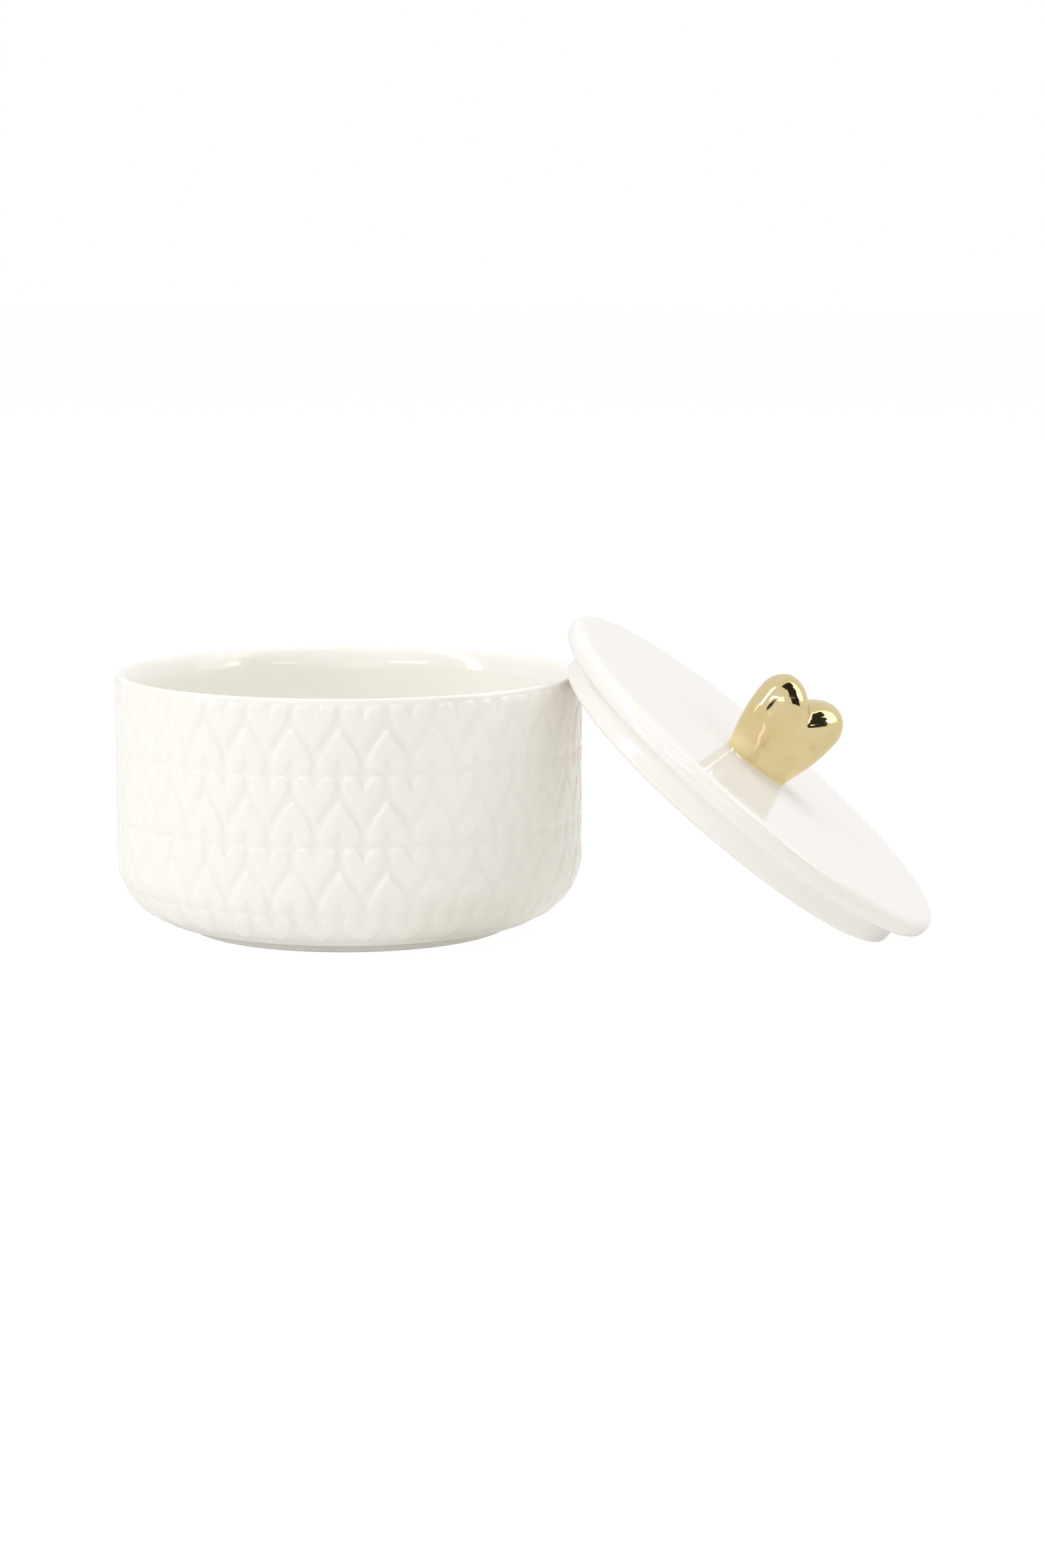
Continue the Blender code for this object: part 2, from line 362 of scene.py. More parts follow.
def turned(name, outline, steps):
    """Draws an outline of (radius, height) points and turns it about the Z axis."""
    bpy.ops.object.select_all(action="DESELECT")
    bpy.ops.mesh.primitive_plane_add(size=0.01)
    piece = bpy.context.object
    piece.name = name
    piece.data.name = name
    bpy.ops.object.mode_set(mode="EDIT")
    bpy.ops.mesh.select_all(action="SELECT")
    bpy.ops.mesh.merge(type="CENTER")
    bpy.ops.transform.translate(value=(outline[0][0], 0, outline[0][1]))
    for (r, z), (next_r, next_z) in zip(outline, outline[1:]):
        step = {"value": (next_r - r, 0, next_z - z)}
        bpy.ops.mesh.extrude_vertices_move(TRANSFORM_OT_translate=step)
    bpy.ops.object.mode_set(mode="OBJECT")
    bpy.ops.object.modifier_add(type="SCREW")
    turn = piece.modifiers[-1]
    turn.steps = steps
    turn.render_steps = steps
    turn.use_merge_vertices = True
    turn.merge_threshold = MERGE
    bpy.ops.object.modifier_apply(modifier=turn.name)
    bpy.ops.object.mode_set(mode="EDIT")
    bpy.ops.mesh.select_all(action="SELECT")
    bpy.ops.mesh.remove_doubles(threshold=MERGE)
    bpy.ops.mesh.normals_make_consistent(inside=False)
    bpy.ops.object.mode_set(mode="OBJECT")
    bpy.ops.object.shade_smooth()
    return piece


def places(piece):
    """The piece's vertices as an array."""
    points = np.empty(len(piece.data.vertices) * 3, np.float32)
    piece.data.vertices.foreach_get("co", points)
    return points.reshape(-1, 3).astype(float)


def move_to(piece, points):
    piece.data.vertices.foreach_set("co", points.astype(np.float32).ravel())
    piece.data.update()


def settle(piece, place):
    """Puts the piece in the frame, with its place in its mesh."""
    piece.matrix_world = place
    bpy.ops.object.select_all(action="DESELECT")
    piece.select_set(True)
    bpy.context.view_layer.objects.active = piece
    bpy.ops.object.transform_apply(location=True, rotation=True, scale=True)


def store(piece, name, values):
    """Keeps one number for each vertex, for the piece's material to read."""
    attribute = piece.data.attributes.new(name, "FLOAT", "POINT")
    attribute.data.foreach_set("value", np.asarray(values, np.float32))


def bowl_outline(bowl):
    """Outline from the middle of the floor over the rim and down the outside to the foot."""
    inner = bowl.radius - bowl.wall
    crest = bowl.radius - bowl.rim
    curve_r = bowl.radius - bowl.base_curve
    curve_z = bowl.foot_height + bowl.base_curve
    inner_curve = bowl.base_curve - bowl.wall
    floor_top = bowl.foot_height + bowl.floor
    foot_inner = bowl.foot_radius - bowl.foot_width
    edge = bowl.foot_edge

    outline = [(0, floor_top)]
    outline += arc(curve_r, floor_top + inner_curve, inner_curve, inner_curve, -90, 0, 8)
    outline += [(inner, (floor_top + inner_curve + bowl.height - bowl.lip) / 2)]
    outline += arc(crest, bowl.height - bowl.lip, crest - inner, bowl.lip, 180, 90, 11)
    outline += arc(crest, bowl.height - bowl.rim, bowl.rim, bowl.rim, 90, 0, 6)[1:]
    upright = round((bowl.height - bowl.rim - curve_z) / bowl.row)
    outline += [
        (bowl.radius, z) for z in np.linspace(bowl.height - bowl.rim, curve_z, upright + 1)[1:-1]
    ]
    round_rows = round(bowl.base_curve * math.radians(FINE_BEND) / bowl.row)
    base = (curve_r, curve_z, bowl.base_curve, bowl.base_curve)
    outline += arc(*base, 0, -FINE_BEND, round_rows)
    outline += arc(*base, -FINE_BEND, -90, 3)[1:]
    outline += [(bowl.foot_radius, bowl.foot_height)]
    outline += arc(bowl.foot_radius - edge, edge, edge, edge, 0, -90, 2)
    outline += arc(foot_inner + edge, edge, edge, edge, -90, -180, 2)
    outline += [(foot_inner, bowl.foot_recess), (0, bowl.foot_recess)]
    return outline


def bezier(points, steps):
    """Points of a cubic curve, without its last one."""
    t = np.linspace(0, 1, steps, endpoint=False)[:, None]
    a, b, c, d = (np.array(p, float) for p in points)
    return a * (1 - t) ** 3 + 3 * b * t * (1 - t) ** 2 + 3 * c * t * t * (1 - t) + d * t**3


def heart_outline(bowl):
    """Closed outline of an embossed heart with its point at the origin.

    Its bends are in shares of the half width and of the height.
    """
    half, high = bowl.heart_width / 2, bowl.heart_height
    notch = high - bowl.heart_notch
    wide, lobe = high * 0.82, half * 0.62
    low_bend, high_bend = (half * 0.50, high * 0.30), (half * 0.97, high * 0.56)
    side = bezier([(0, 0), low_bend, high_bend, (half, wide)], 14)
    over = bezier([(half, wide), (half, high * 0.93), (half * 0.86, high), (lobe, high)], 8)
    inner_bend, notch_bend = (half * 0.34, high), (half * 0.27, notch + high * 0.24)
    inward = bezier([(lobe, high), inner_bend, notch_bend, (0, notch)], 12)
    right = np.vstack([side, over, inward])
    left = right[1:][::-1] * (-1, 1)
    return np.vstack([right, [(0, notch)], left])


def inside_distance(u, v, outline):
    """Distance of each point from the outline, positive inside it."""
    nearest = np.full(len(u), np.inf)
    inside = np.zeros(len(u), bool)
    for (x, y), (next_x, next_y) in zip(outline, np.roll(outline, -1, axis=0)):
        dx, dy = next_x - x, next_y - y
        px, py = u - x, v - y
        along = np.clip((px * dx + py * dy) / (dx * dx + dy * dy), 0, 1)
        nearest = np.minimum(nearest, np.hypot(px - along * dx, py - along * dy))
        if dy != 0:
            crosses = (py < 0) != (py < dy)
            inside ^= crosses & (px < dx * py / dy)
    return np.where(inside, nearest, -nearest)


def hearts_at(turn, climb, bowl):
    """Distance inside the nearest heart's outline and share of its height, upright then inverted.

    The places on the wall are given by polar angle and climb.
    """
    outline = heart_outline(bowl)
    step = FULL_TURN / bowl.hearts
    high = bowl.heart_height

    def nearest_column(first):
        return ((turn - first + step / 2) % step - step / 2) * bowl.radius

    def above_foot(first, bands):
        band = np.clip(np.round((first - high / 2 - climb) / bowl.pitch), 0, bands - 1)
        return climb - (first - high - bowl.pitch * band)

    rise = above_foot(bowl.top, UPRIGHT_BANDS)
    yield inside_distance(nearest_column(bowl.phase + step / 2), rise, outline), rise / high
    rise = above_foot(bowl.top - bowl.drop, INVERTED_BANDS)
    yield inside_distance(nearest_column(bowl.phase), high - rise, outline), rise / high


def heart_distance(turn, climb, bowl):
    """Distance inside the nearest heart's outline, by polar angle and climb up the wall."""
    return np.maximum(*(inside for inside, rise in hearts_at(turn, climb, bowl)))


def gathered(turn, climb, bowl):
    """The same places on the wall, drawn towards the hearts' outlines."""
    nudge = bowl.row / 10
    inside = heart_distance(turn, climb, bowl)

    def change(aside, up):
        beyond = heart_distance(turn + aside, climb + up, bowl)
        return beyond - heart_distance(turn - aside, climb - up, bowl)

    ahead, above = change(nudge / bowl.radius, 0), change(0, nudge)
    steep = np.maximum(np.hypot(ahead, above), nudge)
    pull = -bowl.crowd * inside * np.exp(-((inside / bowl.crowd_reach) ** 2))
    return turn + pull * ahead / steep / bowl.radius, climb + pull * above / steep


def heart_relief(turn, climb, bowl):
    """Relief from 0 in the grooves to 1 on the hearts' faces, softer along their lower edges."""
    relief = np.zeros(len(turn))
    for (inside, rise), lower in zip(hearts_at(turn, climb, bowl), SOFT_BELOW):
        soft = smooth((lower - rise) / SOFT_FADE)
        width = bowl.slope + (bowl.soft_slope - bowl.slope) * soft
        crown = 1 - (1 - np.clip(inside / (bowl.heart_height * CROWN_REACH), 0, 1)) ** 2
        raised = smooth(inside / width + 0.5) * (1 - bowl.crown) + crown * bowl.crown
        relief = np.maximum(relief, raised)
    return relief * smooth((bowl.rim_band - climb) / bowl.slope + 0.5)


def wall_place(climb, bowl):
    """Radius and height of the outer wall, from its base curve to the rounding of its rim."""
    bend = np.clip((bowl.foot_height + bowl.base_curve - climb) / bowl.base_curve, 0, None)
    over = np.clip(climb - bowl.height + bowl.rim, 0, bowl.rim)
    radius = bowl.radius - bowl.base_curve * (1 - np.cos(bend)) - bowl.rim
    radius = radius + np.sqrt(bowl.rim**2 - over**2)
    return radius, climb + bowl.base_curve * (bend - np.sin(bend))


def emboss(piece, bowl):
    """Presses the grooves between the hearts into the turned wall."""
    points = places(piece)
    radius = np.hypot(points[:, 0], points[:, 1])
    height = points[:, 2]
    curve_r = bowl.radius - bowl.base_curve
    curve_z = bowl.foot_height + bowl.base_curve
    bend = np.arctan2(curve_z - height, radius - curve_r)
    climb = np.where(height < curve_z, curve_z - bowl.base_curve * bend, height)
    wall_r, wall_z = wall_place(climb, bowl)
    outside = np.hypot(radius - wall_r, height - wall_z) < WALL_TOLERANCE
    outside = np.flatnonzero(outside & (radius > curve_r) & (height < bowl.height - RIM_FADE[0]))
    turn = np.arctan2(points[outside, 1], points[outside, 0])
    climb = climb[outside]

    def fade(climb):
        under_rim = (bowl.height - climb - RIM_FADE[0]) / (RIM_FADE[1] - RIM_FADE[0])
        over_base = (climb - BASE_FADE[0]) / (BASE_FADE[1] - BASE_FADE[0])
        return smooth(under_rim) * smooth(over_base)

    near_turn, near_climb = gathered(turn, climb, bowl)
    share = fade(climb)
    turn += (near_turn - turn) * share
    climb += (near_climb - climb) * share
    radius, height = wall_place(climb, bowl)
    points[outside] = np.stack([radius * np.cos(turn), radius * np.sin(turn), height], axis=1)
    move_to(piece, points)

    depth = np.zeros(len(points))
    depth[outside] = (1 - heart_relief(turn, climb, bowl)) * fade(climb)
    # Darker glaze in the grooves: glaze pooling and painted shade, with more painted shade near the
    # base
    pooled_and_shaded = np.zeros(len(points))
    low = smooth((BASE_SHADE_TOP - climb) / BASE_SHADE_FADE)
    pooled_and_shaded[outside] = depth[outside] * (GROOVE_POOL_AND_SHADE + BASE_SHADE * low)
    store(piece, "pooled_and_shaded", pooled_and_shaded)
    grooves = piece.vertex_groups.new(name="grooves")
    levels = np.round(depth * GROOVE_LEVELS).astype(int)
    order = np.argsort(levels, kind="stable")
    starts = np.searchsorted(levels[order], np.arange(1, GROOVE_LEVELS + 2))
    for level, (start, end) in enumerate(zip(starts, starts[1:]), 1):
        if end > start:
            grooves.add(order[start:end].tolist(), level / GROOVE_LEVELS, "REPLACE")
    bpy.ops.object.select_all(action="DESELECT")
    piece.select_set(True)
    bpy.context.view_layer.objects.active = piece
    bpy.ops.object.modifier_add(type="DISPLACE")
    press = piece.modifiers[-1]
    press.direction = "NORMAL"
    press.mid_level = 0
    press.strength = -bowl.groove
    press.vertex_group = grooves.name
    bpy.ops.object.modifier_apply(modifier=press.name)
    piece.vertex_groups.clear()


class NodeTree:
    """Adds nodes to a tree and links them by their sockets' names."""

    def __init__(self, tree):
        self.tree = tree

    def add(self, kind, settings=None, **inputs):
        node = self.tree.nodes.new(kind)
        for name, value in (settings or {}).items():
            setattr(node, name, value)
        for name, value in inputs.items():
            self.set(node, name.replace("_", " "), value)
        return node

    def set(self, node, name, value):
        socket = node.inputs[int(name)] if name.isdigit() else node.inputs[name]
        if isinstance(value, bpy.types.NodeSocket):
            self.tree.links.new(value, socket)
        else:
            socket.default_value = value

    def math(self, operation, first, second=0.0):
        node = self.tree.nodes.new("ShaderNodeMath")
        node.operation = operation
        self.set(node, "0", first)
        self.set(node, "1", second)
        return node.outputs[0]

    def ramp(self, value, low, high, to_low=0.0, to_high=1.0):
        node = self.tree.nodes.new("ShaderNodeMapRange")
        node.interpolation_type = "SMOOTHSTEP"
        self.set(node, "Value", value)
        self.set(node, "From Min", low)
        self.set(node, "From Max", high)
        self.set(node, "To Min", to_low)
        self.set(node, "To Max", to_high)
        return node.outputs["Result"]

    def mix(self, amount, first, second):
        node = self.tree.nodes.new("ShaderNodeMix")
        node.data_type = "RGBA"
        self.set(node, "0", amount)
        self.set(node, "6", first)
        self.set(node, "7", second)
        return node.outputs[2]


def group(name, inputs, outputs):
    """An empty node group with those sockets, and its inputs and output nodes."""
    tree = bpy.data.node_groups.new(name, "ShaderNodeTree")
    kinds = {"value": "NodeSocketFloat", "vector": "NodeSocketVector"}
    for socket, kind in inputs:
        tree.interface.new_socket(socket, in_out="INPUT", socket_type=kinds[kind])
    for socket, kind in outputs:
        tree.interface.new_socket(socket, in_out="OUTPUT", socket_type=kinds[kind])
    nodes = NodeTree(tree)
    return tree, nodes, nodes.add("NodeGroupInput").outputs, nodes.add("NodeGroupOutput")


def pinhole_group():
    """Sparse round pits: a mask that is 1 in a pit."""
    found = bpy.data.node_groups.get("pinholes")
    if found:
        return found
    tree, nodes, given, out = group(
        "pinholes",
        [("Place", "vector"), ("Cells", "value"), ("Size", "value"), ("Share", "value")],
        [("Mask", "value")],
    )
    cells = nodes.add("ShaderNodeTexVoronoi", Vector=given["Place"], Scale=given["Cells"])
    chosen = nodes.add("ShaderNodeSeparateColor", Color=cells.outputs["Color"]).outputs[0]
    kept = nodes.math("LESS_THAN", chosen, given["Share"])
    edge = nodes.math("DIVIDE", cells.outputs["Distance"], given["Size"])
    pit = nodes.ramp(edge, PIT_EDGE, 1.0, 1.0, 0.0)
    nodes.set(out, "Mask", nodes.math("MULTIPLY", kept, pit))
    return tree


def cloud_group():
    """Slow unevenness of a coat: a cloud from 0 to 1 and a fine ripple for the bump."""
    found = bpy.data.node_groups.get("coat_unevenness")
    if found:
        return found
    tree, nodes, given, out = group(
        "coat_unevenness",
        [("Place", "vector"), ("Clouds", "value"), ("Ripples", "value")],
        [("Cloud", "value"), ("Ripple", "value")],
    )
    place = given["Place"]
    cloud = nodes.add("ShaderNodeTexNoise", Vector=place, Scale=given["Clouds"], Detail=2.0)
    ripple = nodes.add("ShaderNodeTexNoise", Vector=place, Scale=given["Ripples"], Detail=0.0)
    nodes.set(out, "Cloud", nodes.ramp(cloud.outputs["Fac"], *CLOUD_RANGE))
    nodes.set(out, "Ripple", ripple.outputs["Fac"])
    return tree


def new_material(name):
    material = bpy.data.materials.new(name)
    material.use_nodes = True
    nodes = NodeTree(material.node_tree)
    return material, nodes, material.node_tree.nodes["Principled BSDF"]


def placed(nodes, tree, **inputs):
    node = nodes.add("ShaderNodeGroup", {"node_tree": tree})
    for name, value in inputs.items():
        nodes.set(node, name, value)
    return node.outputs


def stored(nodes, name):
    """Outputs of the node that reads a piece's stored attribute."""
    return nodes.add("ShaderNodeAttribute", {"attribute_name": name}).outputs


def opaque(rgb):
    return (*rgb, 1.0)


def glaze(name, finish, tone, ripples):
    """Glossy ivory glaze, darker in the grooves and the crease (glaze pooling and painted shade),
    with bare clay where it was wiped off.
    """
    material, nodes, shader = new_material(name)
    place = nodes.add("ShaderNodeTexCoord").outputs["Object"]
    coat = placed(nodes, cloud_group(), Place=place, Clouds=GLAZE_CLOUDS, Ripples=ripples)
    specks = placed(nodes, pinhole_group(), Place=place, **SPECKS)
    pooled_and_shaded = stored(nodes, "pooled_and_shaded")["Fac"]
    wiped = stored(nodes, "wiped")["Fac"]

    # Painted shade and glaze pooling: the glaze darkens by the stored share
    tone = nodes.mix(pooled_and_shaded, opaque(tone), opaque(finish.pool))
    shade = nodes.ramp(coat["Cloud"], 0.0, 1.0, 0.0, CLOUD_SHARE)
    tone = nodes.mix(shade, tone, opaque(finish.pool))
    speck = nodes.math("MULTIPLY", specks["Mask"], SPECK_SHARE)
    tone = nodes.mix(speck, tone, opaque(finish.speck))
    nodes.set(shader, "Base Color", nodes.mix(wiped, tone, opaque(finish.clay)))
    gloss = nodes.ramp(coat["Cloud"], 0.0, 1.0, *GLAZE_ROUGHNESS)
    nodes.set(shader, "Roughness", nodes.ramp(wiped, 0.0, 1.0, gloss, CLAY_ROUGHNESS))
    wavy = stored(nodes, "wavy")["Fac"]
    ripple = nodes.add(
        "ShaderNodeBump", Strength=wavy, Distance=RIPPLE_HEIGHT, Height=coat["Ripple"]
    )
    nodes.set(shader, "Normal", ripple.outputs["Normal"])
    nodes.set(shader, "IOR", GLAZE_IOR)
    nodes.set(shader, "Subsurface Weight", SCATTER)
    nodes.set(shader, "Subsurface Radius", SCATTER_RADIUS)
    nodes.set(shader, "Subsurface Scale", SCATTER_SCALE)
    return material


def painted_glint(nodes, own):
    """Mask of a painted highlight, a thin wavy bright streak that runs down the left of the knob's
    front face.
    """
    run = nodes.math("MULTIPLY", own["Z"], GLINT_LEAN)
    wave = nodes.math("SINE", nodes.math("MULTIPLY", own["Z"], GLINT_WAVES))
    wave = nodes.math("MULTIPLY", wave, GLINT_SWAY)
    middle = nodes.math("ADD", nodes.math("ADD", run, wave), GLINT_OFFSET)
    aside = nodes.math("ABSOLUTE", nodes.math("SUBTRACT", own["X"], middle))
    line = nodes.ramp(aside, *GLINT_EDGE, 1.0, 0.0)
    head = nodes.ramp(own["Z"], *GLINT_HEAD, 1.0, 0.0)
    ends = nodes.math("MULTIPLY", nodes.ramp(own["Z"], *GLINT_FOOT), head)
    front = nodes.math("LESS_THAN", own["Y"], 0.0)
    return nodes.math("MULTIPLY", nodes.math("MULTIPLY", line, ends), front)


def gold_lustre(finish):
    """Mirror gold over the glaze, with faint clouds, a soft ripple, a painted highlight streak and a
    few pinholes.
    """
    material, nodes, shader = new_material("gold_lustre_finish")
    place = nodes.add("ShaderNodeTexCoord").outputs["Object"]
    coat = placed(nodes, cloud_group(), Place=place, Clouds=GOLD_CLOUDS, Ripples=GOLD_RIPPLES)
    pits = placed(nodes, pinhole_group(), Place=place, **PITS)
    tone = nodes.mix(coat["Cloud"], opaque(finish.gold), opaque(finish.pale_gold))
    own = nodes.add("ShaderNodeSeparateXYZ", Vector=stored(nodes, "own_place")["Vector"]).outputs
    # Painted light: lighter gold near the foot
    foot = nodes.ramp(own["Z"], *LIT_FOOT_FADE, 1.0, 0.0)
    tone = nodes.mix(foot, tone, opaque(finish.painted_light_foot_gold))
    # Painted highlight: a bright streak down the knob's face
    tone = nodes.mix(painted_glint(nodes, own), tone, opaque(finish.glint))
    # Painted reflection: reflections of the knob take a paler, greyer gold
    mirrored = nodes.add("ShaderNodeLightPath").outputs["Is Glossy Ray"]
    mirrored = nodes.math("MULTIPLY", mirrored, PAINTED_REFLECTION_SHARE)
    tone = nodes.mix(mirrored, tone, opaque(finish.painted_reflection_gold))
    nodes.set(shader, "Base Color", nodes.mix(pits["Mask"], tone, opaque(finish.pit)))
    gloss = nodes.ramp(coat["Cloud"], 0.0, 1.0, *GOLD_ROUGHNESS)
    nodes.set(shader, "Roughness", nodes.ramp(pits["Mask"], 0.0, 1.0, gloss, PIT_ROUGHNESS))
    height = nodes.math("SUBTRACT", coat["Ripple"], pits["Mask"])
    ripple = nodes.add(
        "ShaderNodeBump", Strength=GOLD_RIPPLE, Distance=RIPPLE_HEIGHT, Height=height
    )
    nodes.set(shader, "Normal", ripple.outputs["Normal"])
    nodes.set(shader, "Metallic", 1.0)
    return material


class TRINKET_OT_bowl(bpy.types.Operator):
    """Turn the bowl, press the grooves between its hearts and glaze it"""

    bl_idname = "trinket.bowl"
    bl_label = "Bowl"

    def execute(self, context):
        bowl = context.scene.trinket_bowl
        piece = turned("embossed_bowl", bowl_outline(bowl), bowl.hearts * bowl.columns)
        emboss(piece, bowl)
        height = places(piece)[:, 2]
        store(piece, "wiped", smooth(1 - height / bowl.foot_edge))
        store(piece, "wavy", np.full(len(height), BOWL_RIPPLE))
        settle(piece, Matrix.Translation((*BOWL_AXIS, 0)))
        finish = context.scene.trinket_finish
        coat = glaze("bowl_glaze_finish", finish, finish.glaze, BOWL_RIPPLES)
        piece.data.materials.append(coat)
        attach(piece, "bowl")
        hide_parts("bowl")
        return {"FINISHED"}


class TRINKET_OT_lid(bpy.types.Operator):
    """Turn the lid's plate and the ring under it, and glaze them"""

    bl_idname = "trinket.lid"
    bl_label = "Lid"

    def execute(self, context):
        lid = context.scene.trinket_lid
        finish = context.scene.trinket_finish
        upper, lower = lid.top_round, lid.lower_round
        outline = [(r, LID_THICKNESS) for r in TOP_RINGS]
        outline += arc(LID_RADIUS - upper, LID_THICKNESS - upper, upper, upper, 90, 0, 10)
        outline += arc(LID_RADIUS - lower, lower, lower, lower, 0, -90, 6)
        outline += [(lid.ring_radius - lid.ring_width, 0), (0, 0)]
        plate = turned("lid_disc", outline, lid.steps)

        inner = lid.ring_radius - lid.ring_width
        edge, fillet = lid.ring_round, lid.fillet
        fillet_z = RING_SEAT - fillet
        outline = arc(lid.ring_radius + fillet, fillet_z, fillet, fillet, 90, 180, 8)
        outline += arc(lid.ring_radius - edge, edge - lid.ring_depth, edge, edge, 0, -90, 5)
        outline += arc(inner + edge, edge - lid.ring_depth, edge, edge, -90, -180, 5)
        outline += arc(inner - fillet, fillet_z, fillet, fillet, 0, 90, 8)
        outline += [outline[0]]
        ring = turned("ring_under_lid", outline, lid.steps)

        made = ((plate, "lid_plate", "lid_glaze"), (ring, "locating_ring", "ring_glaze"))
        for piece, node, slot in made:
            points = places(piece)
            height = points[:, 2]
            above_edge = height + lid.ring_depth
            store(piece, "wiped", smooth((WIPED_HEIGHT - above_edge) / WIPED_HEIGHT))
            # Painted crease shade and glaze pooling where the ring meets the plate
            store(piece, "pooled_and_shaded", CREASE_POOL_AND_SHADE * smooth(1 - np.abs(height) / CREASE_REACH))
            apart = np.hypot(points[:, 0], points[:, 1])
            around_knob = smooth((LID_RIPPLE_REACH - apart) / LID_RIPPLE_FADE)
            store(piece, "wavy", LID_RIPPLE * around_knob * (height > 0))
            settle(piece, LID_PLACE)
            coat = glaze(slot + "_finish", finish, finish.lid_glaze, LID_RIPPLES)
            piece.data.materials.append(coat)
            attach(piece, "lid")
            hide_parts(node)
        return {"FINISHED"}


def heart_places(points, knob):
    """Fills out the levels of the squashed bullet and presses its crown into two lobes."""
    half = knob.width / 2
    across = np.abs(points[:, :2]) / (half, knob.thickness / 2)
    level = np.hypot(across[:, 0], across[:, 1])
    power = knob.fullness
    full = np.maximum((across**power).sum(axis=1) ** (1 / power), 1e-9)
    points[:, :2] *= np.where(level > 0, level / full, 1)[:, None]

    x, z = points[:, 0], points[:, 2]
    off = np.hypot(x, knob.softness)
    outward = np.clip((off - knob.lobe) / (half - knob.lobe), 0, 1)
    inward = np.clip(1 - off / knob.lobe, 0, 1)
    lobes = knob.shoulder + knob.lobe_rise * np.sqrt(1 - outward**2) - knob.notch * inward**2
    bullet = knob.shoulder + knob.crown * np.sqrt(np.clip(1 - (x / half) ** 2, 0, None))
    share = np.clip((z - knob.fade) / (bullet - knob.fade), 0, 1) ** PRESS_POWER
    points[:, 2] = z - (bullet - lobes) * share
    return points


class TRINKET_OT_knob(bpy.types.Operator):
    """Turn the knob's bullet, squash it, press its crown into a heart and gild it"""

    bl_idname = "trinket.knob"
    bl_label = "Heart knob"

    def execute(self, context):
        knob = context.scene.trinket_knob
        half, foot = knob.width / 2, knob.foot_width / 2
        angles = np.linspace(0, math.pi / 2, knob.levels + 1)
        outline = [(half * math.sin(a), knob.shoulder + knob.crown * math.cos(a)) for a in angles]
        outline[0] = (0, knob.shoulder + knob.crown)
        for share in np.linspace(1, 0, knob.levels + 1)[1:]:
            side = foot + (half - foot) * math.sin(math.pi / 2 * share)
            outline.append((side, knob.shoulder * share))
        base = -knob.seat - knob.sink
        outline += [(foot, base), (0, base)]
        piece = turned("gold_heart", outline, knob.steps)

        bpy.ops.object.mode_set(mode="EDIT")
        bpy.ops.mesh.select_all(action="SELECT")
        bpy.ops.transform.resize(value=(1, knob.thickness / knob.width, 1))
        bpy.ops.object.mode_set(mode="OBJECT")
        move_to(piece, heart_places(places(piece), knob))
        own = piece.data.attributes.new("own_place", "FLOAT_VECTOR", "POINT")
        own.data.foreach_set("vector", places(piece).astype(np.float32).ravel())

        rise = Matrix.Translation((-knob.offset, 0, LID_THICKNESS + knob.seat))
        settle(piece, LID_PLACE @ rise @ Matrix.Rotation(knob.turn, 4, "Z"))
        bpy.ops.object.shade_smooth_by_angle(angle=SMOOTH_EDGE)
        piece.data.materials.append(gold_lustre(context.scene.trinket_finish))
        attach(piece, "lid")
        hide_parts("heart_knob")
        return {"FINISHED"}


def aim(place, target):
    """Matrix of a camera or lamp at a place, which looks at the target."""
    turn = (Vector(target) - Vector(place)).to_track_quat("-Z", "Y").to_matrix().to_4x4()
    return Matrix.Translation(place) @ turn


def direction(azimuth, elevation):
    """Direction from the object, by degrees around it from the front and degrees up."""
    around, up = math.radians(azimuth), math.radians(elevation)
    return Vector((math.sin(around) * math.cos(up), -math.cos(around) * math.cos(up), math.sin(up)))


def softbox(name, azimuth, elevation, width, high, brightness, tint, mirrored):
    """Area lamp that looks at the box."""
    bpy.ops.object.light_add(type="AREA")
    lamp = bpy.context.object
    lamp.name = name
    lamp.matrix_world = aim(direction(azimuth, elevation) * LAMP_DISTANCE, STAGE_MIDDLE)
    lamp.data.shape = "RECTANGLE"
    lamp.data.size = width
    lamp.data.size_y = high
    lamp.data.energy = brightness * math.pi * width * high
    lamp.data.color = tint
    lamp.visible_glossy = mirrored


def card(name, azimuth, elevation, width, high, brightness, distance, middle):
    """Dark or bright card that only mirrors show, at a distance from the middle that it faces."""
    bpy.ops.object.select_all(action="DESELECT")
    bpy.ops.mesh.primitive_plane_add(size=1)
    piece = bpy.context.object
    piece.name = name
    size = Matrix.Diagonal((width, high, 1, 1))
    place = Vector(middle) + direction(azimuth, elevation) * distance
    settle(piece, aim(place, middle) @ size)
    piece.visible_camera = False
    piece.visible_diffuse = False
    piece.visible_shadow = False
    piece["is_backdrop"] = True
    material, nodes, shader = new_material(name + "_face")
    nodes.set(shader, "Base Color", (0, 0, 0, 1))
    nodes.set(shader, "Specular IOR Level", 0.0)
    nodes.set(shader, "Emission Color", opaque(CARD_COLOUR))
    nodes.set(shader, "Emission Strength", brightness)
    piece.data.materials.append(material)


